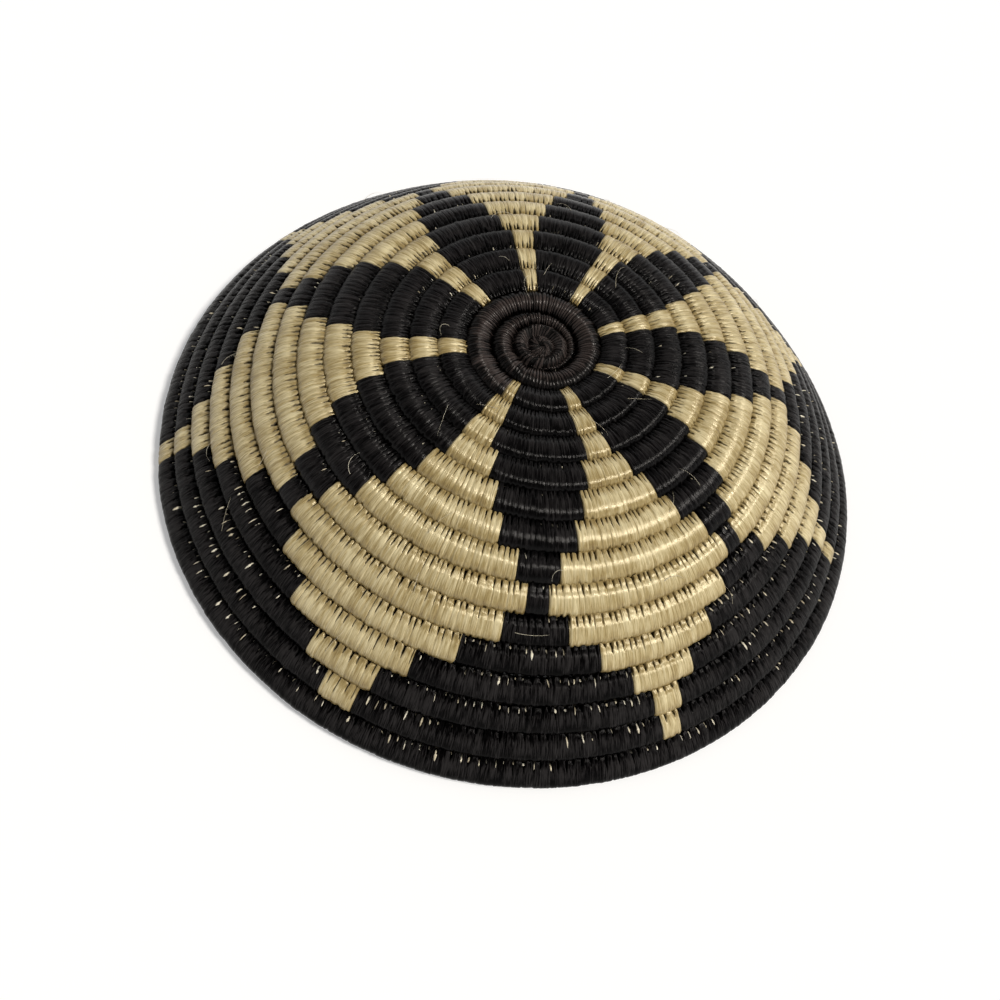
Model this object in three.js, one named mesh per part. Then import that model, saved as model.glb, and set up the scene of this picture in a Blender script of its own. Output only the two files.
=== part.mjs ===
// A coiled basket, lying as it is stored: the rim down and the base up.
// One bundle of plant fibre winds outwards in a spiral, and strands sewn over it hold each turn to
// the turn before. The strands are cream or black, and each area of one colour is a piece of its own:
// the hub, eight cream kites, the black petals between them, the black border fields below the
// petals' waists and the rim. The bundle inside them is one unbroken tube.
// Millimetres, +Z up. The rim's flat foot lies at z = 0, with the basket's axis on the origin.

import * as THREE from 'three';

// The coil.
const coilPitch = 8.8; // from one turn to the next, along the wall
const coilThickness = 7.8; // through the wall at the middle of a turn
const grooveThickness = 3.2; // through the wall in the groove between two turns
const coilTurns = 15.87; // length of the spiral, in turns
const rimTurn = 16.3; // where the level edge of the rim lies, in turns from the centre
const taperTurns = 0.25; // the coil thins out over this much of its last turn
const endShare = 0.15; // what is left of its width where it ends
const levelTurns = 7; // the turns that share out the step of the spiral, so that the rim is level
const hubTurns = 2; // turns of the hub before the pattern starts

// The bundle inside the coil.
const bundleDiameter = 4.2;
const bundleClearance = 0.3;
const bundleStart = -0.4; // in turns
const bundleEnd = 15.75;

// The wall's slope down from level, in degrees, at every slopeEvery turns from the centre.
const slopeDegrees = [2, -2, 0, 11, 23.5, 37, 42.5, 47, 47];
const slopeEvery = 2;

// The foot on which the rim stands.
const footDepth = 0.5;
const footInset = 0.4;

// The pattern: the angles of the eight waists, in degrees from the front towards +X, and how much
// of the room between two waists the cream takes in each round of the coil.
const waistDegrees = [-43.5, 12.5, 58, 100.5, 141, 179.5, 219.5, 266.5];
const creamShare = [0.22, 0.24, 0.225, 0.36, 0.495, 0.62, 0.81, 0.91, 0.7, 0.44, 0.21, 0.085, 0.065];
const creamStartShare = 0.1;
const petalRounds = 8;
const kiteReach = [0.35, 0.15, 0, 0, 0, 0, -0.2, -0.15]; // rounds by which a kite's point is longer
const seamGap = 0.3; // between two areas of stitches

// Facets: steps for each turn of the coil, and sides of the bundle.
const stepsPerTurn = 20;
const bundleSides = 5;

const materials = {
  cream: { color: 0xd9cda6, roughness: 0.45, metalness: 0 },
  black: { color: 0x1d1b20, roughness: 0.5, metalness: 0 },
  bundle: { color: 0xb39a63, roughness: 0.85, metalness: 0 },
};

const TAU = 2 * Math.PI;
const fraction = (x) => x - Math.floor(x);
const clamp = (x, low, high) => Math.min(Math.max(x, low), high);
const smooth = (x) => x * x * (3 - 2 * x);

// The wall's middle line, worked out from its slope in small steps: radius, height and slope.
const slopeCurve = new THREE.SplineCurve(
  slopeDegrees.map((degrees, i) => new THREE.Vector2(i * slopeEvery, THREE.MathUtils.degToRad(degrees))),
);
const lineSteps = 1600;
const lineLength = (slopeDegrees.length - 1) * slopeEvery;
const line = [{ radius: 0, height: 0, slope: 0 }];
for (let i = 1; i <= lineSteps; i += 1) {
  const slope = slopeCurve.getPoint(i / lineSteps).y;
  const before = line[i - 1];
  const step = (lineLength / lineSteps) * coilPitch;
  const middle = (slope + before.slope) / 2;
  line.push({
    radius: before.radius + step * Math.cos(middle),
    height: before.height - step * Math.sin(middle),
    slope,
  });
}

function wallAt(turn) {
  const at = clamp(turn / lineLength, 0, 1) * lineSteps;
  const i = Math.min(Math.floor(at), lineSteps - 1);
  const mix = (name) => THREE.MathUtils.lerp(line[i][name], line[i + 1][name], at - i);
  const slope = mix('slope');
  const past = (turn - clamp(turn, 0, lineLength)) * coilPitch;
  const radius = mix('radius') + past * Math.cos(slope);
  const height = mix('height') - past * Math.sin(slope);
  return { radius, height, slope };
}

// A point that lies `offset` above the wall's middle line, at `turn` from the centre.
function wallPoint(turn, offset, angle) {
  const wall = wallAt(turn);
  const radius = turn <= 0 ? 0 : wall.radius + offset * Math.sin(wall.slope);
  const height = wall.height + offset * Math.cos(wall.slope);
  return new THREE.Vector3(radius * Math.sin(angle), -radius * Math.cos(angle), height);
}

// How much of its full width the coil has at u turns along it.
function widthShare(u) {
  if (u < 0) return clamp(u + 1, 0, 1);
  return clamp((coilTurns - u) / taperTurns, 0, 1);
}

// The edge of the spiral at u turns, before the rim is made level, and the turn at which a groove
// that starts u turns along the coil really lies.
function spiralEdge(u) {
  const last = coilTurns - fraction(coilTurns - u);
  return last + widthShare(last);
}
function levelled(u) {
  const edge = spiralEdge(u);
  const near = smooth(clamp(1 + (u - edge) / levelTurns, 0, 1));
  return Math.max(u, 0) + near * (rimTurn - edge);
}

const kites = waistDegrees.map((waist, i) => {
  const next = i + 1 < waistDegrees.length ? waistDegrees[i + 1] : waistDegrees[0] + 360;
  return { middle: (waist + next) / 2, half: (next - waist) / 2 };
});
const seamAngle = THREE.MathUtils.degToRad(kites[0].middle);
const angleAt = (u) => seamAngle + fraction(u) * TAU;

// Every point of a section is worked out at the steps of the coil, and lies straight between them.
function between(u, pointAt) {
  const step = u * stepsPerTurn;
  const low = Math.floor(step + 1e-7);
  const mix = step - low;
  const from = pointAt(low / stepsPerTurn);
  if (mix < 1e-6) return from;
  return from.lerp(pointAt((low + 1) / stepsPerTurn), mix);
}

const isRim = (u) => u > coilTurns - 1 - 1e-7;
const outerTurn = (u) => (isRim(u) ? rimTurn : levelled(u + 1));
const middleTurn = (u) => (levelled(u) + outerTurn(u)) / 2;
const grooveOffset = grooveThickness / 2;

function groovePoint(u, shift, side) {
  return between(u, (v) => wallPoint(levelled(v) + (v > 0 ? shift : 0), side * grooveOffset, angleAt(v)));
}
function crownPoint(u, side) {
  return between(u, (v) => {
    const share = Math.min(outerTurn(v) - levelled(v), 1);
    const offset = grooveOffset + ((coilThickness - grooveThickness) / 2) * share;
    const point = wallPoint(middleTurn(v), side * offset, angleAt(v));
    point.z = Math.max(point.z, footHeight);
    return point;
  });
}
// The level edge of the rim: its outer corner, and the two edges of its flat foot.
const rimWall = wallAt(rimTurn);
const rimInnerRadius = rimWall.radius - grooveOffset * Math.sin(rimWall.slope);
const footHeight = rimWall.height - grooveOffset * Math.cos(rimWall.slope) + footDepth;
const footOuterRadius = rimInnerRadius + footDepth * Math.tan(rimWall.slope);
const footInnerRadius = rimInnerRadius - footInset;
function rimPoint(u, corner) {
  return between(u, (v) => {
    const angle = angleAt(v);
    if (corner === 0) return wallPoint(rimTurn, grooveOffset, angle);
    const radius = corner === 1 ? footOuterRadius : footInnerRadius;
    return new THREE.Vector3(radius * Math.sin(angle), -radius * Math.cos(angle), footHeight);
  });
}
// A ring of points round the middle of the coil.
function ringPoints(u, count, radiusAt) {
  return Array.from({ length: count }, (_, k) => {
    const around = (k / count) * TAU;
    return between(u, (v) => {
      const across = radiusAt(v) * Math.sin(around);
      const above = radiusAt(v) * Math.cos(around);
      return wallPoint(middleTurn(v) + across / coilPitch, above, angleAt(v));
    });
  });
}
const bundleRadius = (u) => (bundleDiameter / 2) * widthShare(u);
const channelRadius = (u) => (bundleRadius(u) + bundleClearance) * Math.SQRT2;

// A closed surface put together from triangles; points that coincide are shared.
class Surface {
  constructor() {
    this.points = [];
    this.index = [];
    this.known = new Map();
  }
  add(point) {
    const key = [point.x, point.y, point.z].map((value) => Math.round(value * 2e4) / 2e4 + 0).join(' ');
    let found = this.known.get(key);
    if (found === undefined) {
      found = this.points.length / 3;
      this.points.push(point.x, point.y, point.z);
      this.known.set(key, found);
    }
    return found;
  }
  triangle(a, b, c) {
    if (a !== b && b !== c && c !== a) this.index.push(a, b, c);
  }
  // Fills the strip between two rows of points, each given with its place along the strip.
  strip(low, high, flip) {
    let i = 0;
    let j = 0;
    while (i < low.length - 1 || j < high.length - 1) {
      const lowNext = i < low.length - 1 ? low[i + 1].at : Infinity;
      const highNext = j < high.length - 1 ? high[j + 1].at : Infinity;
      const a = low[i].id;
      const b = high[j].id;
      const c = lowNext <= highNext ? low[i + 1].id : high[j + 1].id;
      if (flip) this.triangle(b, a, c);
      else this.triangle(a, b, c);
      if (lowNext <= highNext) i += 1;
      else j += 1;
    }
  }
  tube(rings, inwards) {
    for (let k = 0; k + 1 < rings.length; k += 1) {
      const [near, far] = [rings[k], rings[k + 1]];
      near.forEach((a, j) => {
        const next = (j + 1) % near.length;
        const quad = [a, far[j], near[next], far[next]];
        if (!inwards) [quad[1], quad[2]] = [quad[2], quad[1]];
        this.triangle(quad[0], quad[1], quad[2]);
        this.triangle(quad[1], quad[3], quad[2]);
      });
    }
  }
  lid(ring, flip) {
    for (let k = 1; k + 1 < ring.length; k += 1) {
      if (flip) this.triangle(ring[0], ring[k + 1], ring[k]);
      else this.triangle(ring[0], ring[k], ring[k + 1]);
    }
  }
  geometry() {
    const geometry = new THREE.BufferGeometry();
    geometry.setAttribute('position', new THREE.Float32BufferAttribute(this.points, 3));
    geometry.setIndex(this.index);
    geometry.computeVertexNormals();
    return geometry;
  }
}

// The steps of the coil that lie inside an interval.
function stepsInside(from, to) {
  const steps = [];
  for (let k = Math.ceil(from * stepsPerTurn + 1e-4); k / stepsPerTurn < to - 1e-4 / stepsPerTurn; k += 1) {
    steps.push(k / stepsPerTurn);
  }
  return steps;
}

// Runs of one colour along the coil, each from turn `from` to turn `to`.
function share(kite, round) {
  if (round === 0) return creamStartShare;
  const at = clamp(round - 1 - (round > petalRounds ? kiteReach[kite] : 0), 0, creamShare.length - 1);
  const before = Math.min(Math.floor(at), creamShare.length - 2);
  return THREE.MathUtils.lerp(creamShare[before], creamShare[before + 1], at - before);
}
const rounds = creamShare.length;
const fields = new Map();
function addRun(name, from, to) {
  const cut = (u) => seamGap / 2 / (TAU * wallAt(middleTurn(u)).radius);
  const isStart = from <= -1;
  const isEnd = to >= coilTurns;
  const run = {
    from: isStart ? -1 : from + cut(from),
    to: isEnd ? coilTurns - endShare * taperTurns : to - cut(to),
    isStart,
    isEnd,
  };
  if (!fields.has(name)) fields.set(name, []);
  fields.get(name).push(run);
}
function creamRun(kite, round) {
  const turn = hubTurns + round - 1 + (kites[kite].middle - kites[0].middle) / 360;
  const half = kites[kite].half / 360;
  const before = share(kite, kite === 0 ? round - 1 : round);
  return { from: turn - before * half, to: turn + share(kite, round) * half };
}
addRun('hub_wrap', -1, creamRun(0, 1).from);
for (let round = 1; round <= rounds; round += 1) {
  kites.forEach((_, kite) => {
    const cream = creamRun(kite, round);
    addRun(`kite_wrap_${kite + 1}`, cream.from, cream.to);
    const area = round <= petalRounds ? 'petal_wrap' : 'border_wrap';
    let until = hubTurns + rounds;
    if (kite + 1 < kites.length) until = creamRun(kite + 1, round).from;
    else if (round < rounds) until = creamRun(0, round + 1).from;
    addRun(`${area}_${kite + 1}`, cream.to, until);
  });
}
addRun('rim_wrap', hubTurns + rounds, coilTurns);

// The points along one edge of a run. `toward` is 1 for the edge towards the rim, -1 for the other.
function edgeOf(run, runs, toward) {
  const inset = seamGap / 2 / coilPitch;
  const base = toward > 0 ? 1 : 0;
  const shared = runs
    .map((other) => ({ from: other.from - toward, to: other.to - toward, isStart: other.isStart }))
    .map((other) => ({ from: Math.max(other.from, run.from), to: Math.min(other.to, run.to), other }))
    .filter((piece) => piece.to - piece.from > 1e-5)
    .sort((a, b) => a.from - b.from);
  const points = [];
  const push = (u, shift, open) => points.push({ u, v: u + base, shift, open });
  const endShift = (end, otherEnd) => {
    if (Math.abs(end - otherEnd) < 1e-6) return 0;
    return toward * inset;
  };
  let at = run.from;
  let openStart = true;
  shared.forEach((piece) => {
    if (piece.from > at + 1e-6) {
      if (openStart) push(at, -toward * inset, true);
      stepsInside(at, piece.from).forEach((u) => push(u, -toward * inset, true));
      push(piece.from, -toward * inset, false);
    } else {
      push(at, run.isStart ? 0 : endShift(run.from, piece.other.from), false);
    }
    stepsInside(piece.from, piece.to).forEach((u) => push(u, 0, false));
    at = piece.to;
    openStart = false;
    if (piece.to < run.to - 1e-6) push(piece.to, -toward * inset, true);
    else push(piece.to, endShift(run.to, piece.other.to), false);
  });
  if (at < run.to - 1e-6) {
    if (openStart) push(at, -toward * inset, true);
    stepsInside(at, run.to).forEach((u) => push(u, -toward * inset, true));
    push(run.to, -toward * inset, false);
  }
  return points;
}

function buildField(runs) {
  const surface = new Surface();
  const put = (point) => surface.add(point);
  runs.forEach((run) => {
    const columns = (toward) =>
      edgeOf(run, runs, toward).map((edge) => {
        if (toward > 0 && isRim(edge.u)) {
          return { at: edge.u, ids: [0, 1, 2].map((corner) => put(rimPoint(edge.u, corner))), open: true };
        }
        const centre = toward < 0 && edge.v <= 0;
        const shift = centre ? 0 : edge.shift;
        const ids = [1, -1].map((side) => put(groovePoint(Math.max(edge.v, 0), shift, side)));
        return { at: edge.u, ids, open: edge.open && !centre };
      });
    const inner = columns(-1);
    const outer = columns(1);
    const stations = [run.from, ...stepsInside(run.from, run.to), run.to];
    const crown = (side) => stations.map((u) => ({ at: u, id: put(crownPoint(u, side)) }));
    const top = (column) => ({ at: column.at, id: column.ids[0] });
    const bottom = (column) => ({ at: column.at, id: column.ids[column.ids.length - 1] });
    const upper = crown(1);
    const lower = crown(-1);
    surface.strip(inner.map(top), upper, false);
    surface.strip(upper, outer.map(top), false);
    surface.strip(inner.map(bottom), lower, true);
    surface.strip(lower, outer.map(bottom), true);

    // The walls along the grooves where the area of stitches ends.
    const wall = (list, flip) => {
      for (let k = 0; k + 1 < list.length; k += 1) {
        if (list[k].open) {
          const depth = (column) => column.ids.map((id, n) => ({ at: n / (column.ids.length - 1), id }));
          surface.strip(depth(list[k]), depth(list[k + 1]), flip);
        }
      }
    };
    wall(inner, false);
    wall(outer, true);

    // The channel for the bundle, open at the ends of the run, and the ends themselves.
    const from = Math.max(run.from, bundleStart - 0.5 / stepsPerTurn);
    const to = Math.min(run.to, bundleEnd + 0.5 / stepsPerTurn);
    const rings = [from, ...stepsInside(from, to), to].map((u) => ringPoints(u, 4, channelRadius).map(put));
    surface.tube(rings, true);
    const end = (k, ring, flip) => {
      const first = inner[k < 0 ? inner.length - 1 : 0].ids;
      const last = outer[k < 0 ? outer.length - 1 : 0].ids;
      const high = upper[k < 0 ? upper.length - 1 : 0].id;
      const low = lower[k < 0 ? lower.length - 1 : 0].id;
      const put3 = (a, b, c) => (flip ? surface.triangle(a, c, b) : surface.triangle(a, b, c));
      const [up, right, down, left] = ring;
      const foot = last[last.length - 1];
      put3(first[0], high, up);
      put3(high, last[0], up);
      put3(last[0], right, up);
      for (let n = 0; n + 1 < last.length; n += 1) put3(last[n], last[n + 1], right);
      put3(foot, down, right);
      put3(foot, low, down);
      put3(low, first[1], down);
      put3(first[1], left, down);
      put3(first[1], first[0], left);
      put3(first[0], up, left);
    };
    if (from > run.from) surface.lid(rings[0], false);
    else end(0, rings[0], true);
    if (to < run.to) {
      surface.lid(rings[rings.length - 1], true);
      const first = inner[inner.length - 1].ids;
      const last = outer[outer.length - 1].ids;
      const loop = [upper[upper.length - 1].id, ...last, lower[lower.length - 1].id, first[1], first[0]];
      surface.lid(loop, false);
    } else end(-1, rings[rings.length - 1], false);
  });
  return surface.geometry();
}

// The bundle: one tube from the middle of the hub to the thin end of the coil.
function buildBundle() {
  const surface = new Surface();
  const from = bundleStart;
  const to = bundleEnd;
  const rings = [from, ...stepsInside(from, to), to].map((u) =>
    ringPoints(u, bundleSides, bundleRadius).map((point) => surface.add(point)),
  );
  surface.tube(rings, false);
  surface.lid(rings[0], true);
  surface.lid(rings[rings.length - 1], false);
  return surface.geometry();
}

// The least distance between neighbouring turns of the bundle, on the points of its middle line.
function leastBundleGap() {
  const centres = [];
  const samples = stepsPerTurn * 4;
  for (let k = Math.ceil(bundleStart * samples); k <= bundleEnd * samples; k += 1) {
    const u = k / samples;
    centres.push({ u, point: ringPoints(u, 1, () => 0)[0] });
  }
  let least = Infinity;
  centres.forEach((a) => {
    centres.forEach((b) => {
      if (b.u - a.u > 0.5) {
        const gap = a.point.distanceTo(b.point) - bundleRadius(a.u) - bundleRadius(b.u);
        least = Math.min(least, gap);
      }
    });
  });
  return least;
}

const basket = new THREE.Group();
const colourOf = (name) => (name.startsWith('kite') ? 'cream' : 'black');
fields.forEach((runs, name) => {
  const mesh = new THREE.Mesh(buildField(runs), new THREE.MeshStandardMaterial(materials[colourOf(name)]));
  mesh.name = name;
  mesh.position.z = -footHeight;
  basket.add(mesh);
});
const bundle = new THREE.Mesh(buildBundle(), new THREE.MeshStandardMaterial(materials.bundle));
bundle.name = 'foundation_coil';
bundle.position.z = -footHeight;
basket.add(bundle);

console.log(`least gap of the bundle to itself: ${leastBundleGap().toFixed(2)} mm`);

export default basket;
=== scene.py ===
# A coiled basket that lies on its rim: cream and black strands sewn over one spiral bundle.
# Lengths are in millimetres and places along the coil in turns. A piece's mesh is built in metres.
import math

import bpy
import numpy as np
from mathutils import Matrix, Vector


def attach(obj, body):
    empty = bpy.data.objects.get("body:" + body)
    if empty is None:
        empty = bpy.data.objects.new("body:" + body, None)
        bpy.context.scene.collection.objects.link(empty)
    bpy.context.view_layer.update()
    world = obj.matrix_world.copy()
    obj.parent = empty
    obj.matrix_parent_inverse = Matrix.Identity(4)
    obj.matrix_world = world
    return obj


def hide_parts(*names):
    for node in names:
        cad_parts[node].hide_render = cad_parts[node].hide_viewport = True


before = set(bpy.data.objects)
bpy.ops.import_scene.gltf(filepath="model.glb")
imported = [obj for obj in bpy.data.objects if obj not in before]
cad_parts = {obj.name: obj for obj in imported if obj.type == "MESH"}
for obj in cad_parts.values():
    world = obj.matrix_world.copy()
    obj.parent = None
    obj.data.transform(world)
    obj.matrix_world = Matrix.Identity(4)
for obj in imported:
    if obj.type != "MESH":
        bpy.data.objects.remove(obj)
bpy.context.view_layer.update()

TAU = 2 * math.pi
MM = 0.001

# The camera, fitted to the photograph.
LENS, SENSOR = 34.2, 36.0
ELEVATION, ROLL = math.radians(51.16), math.radians(-14.49)
DISTANCE = 309.6  # to the middle of the base
BASE_PIXEL = (539.7, 348.1)  # where the middle of the base is seen
FRAME_PIXELS = 1000
CLIP_METRES = 0.01, 20

# The light and the room.
KEY_FROM = (0.57, -0.08, 0.82)
KEY_DEGREES, KEY_STRENGTH, KEY_COLOUR = 14, 2.8, (1.0, 0.97, 0.92)
AMBIENT = 0.22
CEILING_STARTS, CEILING_FULL, CEILING_WHITE = 0.3, 0.6, 0.12  # the ceiling of the room that gloss reflects
FLOOR_METRES, FLOOR_WHITE = 6.0, 0.96
FLOOR_GLOW, GLOW_SHARE = 1.6, 0.19  # only where the floor is seen or reflected

# The coil, as the CAD model has it.
PITCH = 8.8  # from row to row
THICKNESS = 7.8
EDGE_THICKNESS = 3.2  # where the coil has no width yet
COIL_TURNS = 15.87
RIM_TURN = 16.3  # how far out the rim's edge lies, in rows
TAPER_TURNS = 0.25  # at the coil's end
END_SHARE = 0.15  # of the taper, which is left off
LEVEL_TURNS = 7  # the last turns, in which the spiral closes to a round rim
HUB_TURNS = 2
SLOPES = np.radians([2, -2, 0, 11, 23.5, 37, 42.5, 47, 47])  # the bowl's, at every second row
SLOPE_EVERY = 2
WALL_TURNS, WALL_STEPS = 17, 100  # how far the wall is worked out, and its steps in a row
LENGTH_POINTS = 40001  # along the coil, at which its length is worked out
FOOT_DEPTH = 0.5
BUNDLE_RADIUS = 2.1
# The real rim is a little out of round: the shares of cos a, sin a, cos 2a and sin 2a.
OVAL = (0.0167, -0.0097, -0.0042, 0.0122)

# The pattern: the waists between the kites, in degrees, and the cream's share in each round.
WAISTS = [-43.5, 12.5, 58, 100.5, 141, 179.5, 219.5, 266.5]
CREAM_SHARE = [0.22, 0.24, 0.225, 0.36, 0.495, 0.62, 0.81, 0.91, 0.7, 0.44, 0.21, 0.085, 0.065]
CREAM_START_SHARE = 0.1
PETAL_ROUNDS = 8
KITE_REACH = [0.35, 0.15, 0, 0, 0, 0, -0.2, -0.15]  # rounds by which a kite's point is longer
TIP_DRIFT = [0, 0, 0, 0, 0, 0, -1.5, 0]  # degrees by which a kite's point lies to one side
DRIFT_FROM, DRIFT_ROUNDS = 10, 3  # the drift grows after this round, for this many rounds

# The stitches. Each is wider the further out it lies. Pairs of numbers are the least and the most.
STITCH_SEED = 20
WIDTH_AT_AXIS, WIDTH_PER_MM, WIDTH_SPREAD = 0.75, 0.0155, (0.7, 1.3)
OPEN_SHARE = 0.72  # of the gaps between stitches open into the groove; the others are slits
GAP_DEPTH = (0.8, 1.7)
OPEN_REACH, SLIT_REACH = (0.2, 0.38), (0.28, 0.46)  # how far up the row, as a share of the way over it
OPEN_WIDTH, SLIT_WIDTH = (0.14, 0.4), (0.05, 0.32)  # half of a gap, at 73 mm from the axis
GAP_AT_AXIS, GAP_PER_MM, GAP_UNIT = 0.35, 0.0185, 1.7  # gaps grow outwards, as (0.35 + 0.0185 radius) / 1.7
LINE_DEPTH_LEAST, LINE_DEPTH_MORE = 0.02, 0.2  # of the lines between stitches
TIP_REACH = (0.35, 1.2)  # how far the tip of a stitch lies over the row before
HOLE_DEPTH, HOLE_REACH, HOLE_WIDTH = (0.25, 0.9), (0.16, 0.34), (0.45, 0.85)  # of the next row's stitches
RISE, TILT = 0.03, 0.035  # how unevenly the stitches lie
LOOSE_LEFT, LOOSE_RIGHT = 1.1, 0.6  # by how much gaps are wider and shallower there
PAST_END = 5  # stitches are drawn for the coil and this much more

# A row's cross-section, from the hub side over the outside to the rim side, and back inside.
OUTSIDE_STEPS, INSIDE_STEPS = 22, 9
EXPONENT = 2 / 2.5  # a little fuller than an ellipse
HUB_EXPONENT = 1.15  # the hub's rows are leaner
HUB_ENDS = (1.8, 2.3)  # turns between which the hub's form changes to the rows'
OVERLAP = 0.2  # by which a row is wider on each side, so that rows touch
STATIONS = np.array([0, 0.07, 0.17, 0.33, 0.5, 0.67, 0.83, 0.93])  # the cross-sections in each stitch
END_SLACK, STATION_SLACK = 0.04, 0.06  # left free at the ends of a run of one colour
END_ROUND, END_DROP = 0.7, 0.4  # over how much length a run's ends are rounded off, and how deep
MIDDLE_WAVE, WIDTH_WAVE, HEIGHT_WAVE = 0.015, 0.02, 0.03  # how uneven the rows are
LEAN_WAVE, LEAN_SPREAD = 0.35, 0.2  # how far stitches lean along the row
LEAN_RADIUS = 4  # nearer the axis the lean grows no more
INWARDS = (0.25, 1.2)  # how far in and out the surface can go, as shares of the row's size

# The surface of a row. Numbers marked "of the way" are shares of the way over the row.
TIP_FROM, TIP_TO = 0.33, 0.07  # of the way: where a stitch's tip leaves the round of the row, and its end
TIP_BLEND, TIP_FADE = 0.12, 0.04  # of the way
TIP_HEIGHT = 0.62  # the end of a tip, as a share of the row's height
TIP_TURNS = (1.6, 2.2)  # in the hub, before these turns, stitches have no tips
INSIDE_REACH = 0.7  # gaps reach less far on the inside
SLIT_CLOSED = 0.16  # of the way: slits close towards the groove
GAP_POINT = 0.7  # how pointed gaps are
CUT_EDGE, SHADE_EDGE, SHADE_MORE = 0.14, 0.16, 0.75  # soft edges; a gap's painted shade is wider than its cut
CUT_START = 0.08  # of the way, in which gaps and holes get deep
HOLE_EDGE = 1.4
COARSE_TURNS, COARSENESS = [0, 1.8, 2.1], [3.2, 2.6, 1]  # the hub's strands stand further apart
LINE_WIDTH, HUB_LINE_DEPTH = 0.3, 0.14
FIBRE_HEIGHTS = 0.045, 0.05
BACK_ROUND, BACK_LESS, HUB_SIDE_BACK = 0.07, 0.02, 0.22  # strands have rounder backs on the hub side
SLOW_WAVE = 0.06
RELIEF_START = 0.05  # of the way
# Painted shade in the holes and in the lines between the hub's strands.
HOLE_PAINTED_SHADE, LINE_PAINTED_SHADE = 0.8, 0.9
PAINTED_CROWN_HIGHLIGHT, CROWN_AT, CROWN_WIDTH, PAINTED_GROOVE_SHADE = 6.5, 0.4, 0.21, 2.3  # painted highlight on the crown and painted shade towards the grooves, in the tone
UV_OVER = 3  # the fibre coordinate from one side of a row to the other

# The knot in the middle of the hub, which the first turn goes round.
BUTTON_RADIUS = 8.8
BUTTON_RADII = [0, 1.2, 2.6, 3.4, 4.2, 5.4, 6.7, 7.9, 8.7, 9.2]
BUTTON_HEIGHTS = [1.9, 2.5, 2.4, 1.7, 1.0, 2.4, 3.4, 2.5, 1.1, 0.6]
BUTTON_FROM, BUTTON_PAST, BUTTON_SUNK = 0.12, 0.4, 0.6
BUTTON_SIDES, BUTTON_RINGS, BUTTON_SEED = 480, 40, 4
KNOT_RADIUS, KNOT_STRANDS, KNOT_TWIST, KNOT_RELIEF, KNOT_SEED = 4.4, 19, 0.30, 0.95, 41
RING_STRANDS, RING_TWIST, RING_RELIEF, RING_SEED = 36, 0.05, 0.9, 42  # of the turn round the knot

# The strands of the bundle that show between black stitches: how often, along the coil.
FLECK_SEED = 31
FLECK_TURNS = [2, 3, 7, 9.5, 10.5, 15, 15.9]
FLECK_OFTEN = [0.2, 0.4, 0.3, 0.35, 0.65, 0.65, 0.3]
FLECKS_END, FLECK_MARGIN = 0.3, 0.002  # turns without flecks at the coil's end, and at the ends of a run
CLUSTER_PERIOD, CLUSTER_SEED = 14, 33
FLECK_SIZE = ([9, 10.5], [0.72, 1])  # in the petals they only show low in the grooves
FLECK_START, FLECK_THICK, FLECK_LIFT = (0.06, 0.14), 0.4, (-0.15, 0.08)
FLECK_LONG, FLECK_LONGER = 0.08, 0.22  # as shares of the way over a row
FLECK_WIDE, FLECK_WIDER = 0.3, 0.95
FLECK_LEAN, FLECK_TONE = 0.25, (-2.0, 6.0)
FLECK_STEPS, FLECK_SIDES = 7, 6
BUNDLE_STEPS, BUNDLE_SIDES, BUNDLE_END = 16 * 72, 10, 0.1

# The loose fibres.
HAIR_SEED, HAIRS = 77, 34
HAIR_TURNS, HAIR_LONG, HAIR_LIFT, HAIR_RADIUS = (2.2, 14.5), (4, 13), (0.5, 1.6), (0.05, 0.085)
HAIR_CURL, HAIR_SUNK, HAIR_TONE = 1.2, 0.3, (0, 5)
HAIR_STEPS, HAIR_SIDES = 28, 5


def smooth(x):
    x = np.clip(x, 0, 1)
    return x * x * (3 - 2 * x)


def catmull(knots, place):
    """A smooth curve through the knots."""
    i = np.clip(place.astype(int), 0, len(knots) - 2)
    w = place - i
    p0, p1 = knots[np.maximum(i - 1, 0)], knots[i]
    p2, p3 = knots[i + 1], knots[np.minimum(i + 2, len(knots) - 1)]
    v0, v1 = (p2 - p0) / 2, (p3 - p1) / 2
    return (2 * p1 - 2 * p2 + v0 + v1) * w**3 + (3 * p2 - 3 * p1 - 2 * v0 - v1) * w**2 + v0 * w + p1


def running_sum(steps):
    return np.concatenate([[0], np.cumsum(steps)])


def halfway(values):
    return (values[1:] + values[:-1]) / 2


# The bowl's wall. It starts about level at the middle of the base and goes down to the rim.
line_turn = np.linspace(0, WALL_TURNS, WALL_TURNS * WALL_STEPS + 1)
line_slope = catmull(SLOPES, np.minimum(line_turn / SLOPE_EVERY, len(SLOPES) - 1))
line_step = PITCH * (line_turn[1] - line_turn[0])
line_radius = running_sum(line_step * np.cos(halfway(line_slope)))
line_height = -running_sum(line_step * np.sin(halfway(line_slope)))


def wall(turn):
    """Radius, height and slope of the wall's middle line."""
    return [np.interp(turn, line_turn, line) for line in (line_radius, line_height, line_slope)]


rim_height, rim_slope = wall(RIM_TURN)[1:]
FOOT_HEIGHT = rim_height - EDGE_THICKNESS / 2 * math.cos(rim_slope) + FOOT_DEPTH


def wall_point(turn, offset, angle):
    """A point at an offset above the wall's middle line, from the foot's height."""
    radius, height, slope = wall(turn)
    radius = radius + offset * np.sin(slope)
    height = height + offset * np.cos(slope) - FOOT_HEIGHT
    waves = np.cos(angle), np.sin(angle), np.cos(2 * angle), np.sin(2 * angle)
    oval = sum(share * wave for share, wave in zip(OVAL, waves))
    radius = radius * (1 + oval * (np.clip(turn, 0, None) / RIM_TURN) ** 2)
    return np.stack([radius * np.sin(angle), -radius * np.cos(angle), height], -1)


# The spiral. A place on it is u, the turns from its start at the seam.
def width_share(u):
    return np.where(u < 0, np.clip(u + 1, 0, 1), np.clip((COIL_TURNS - u) / TAPER_TURNS, 0, 1))


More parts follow.
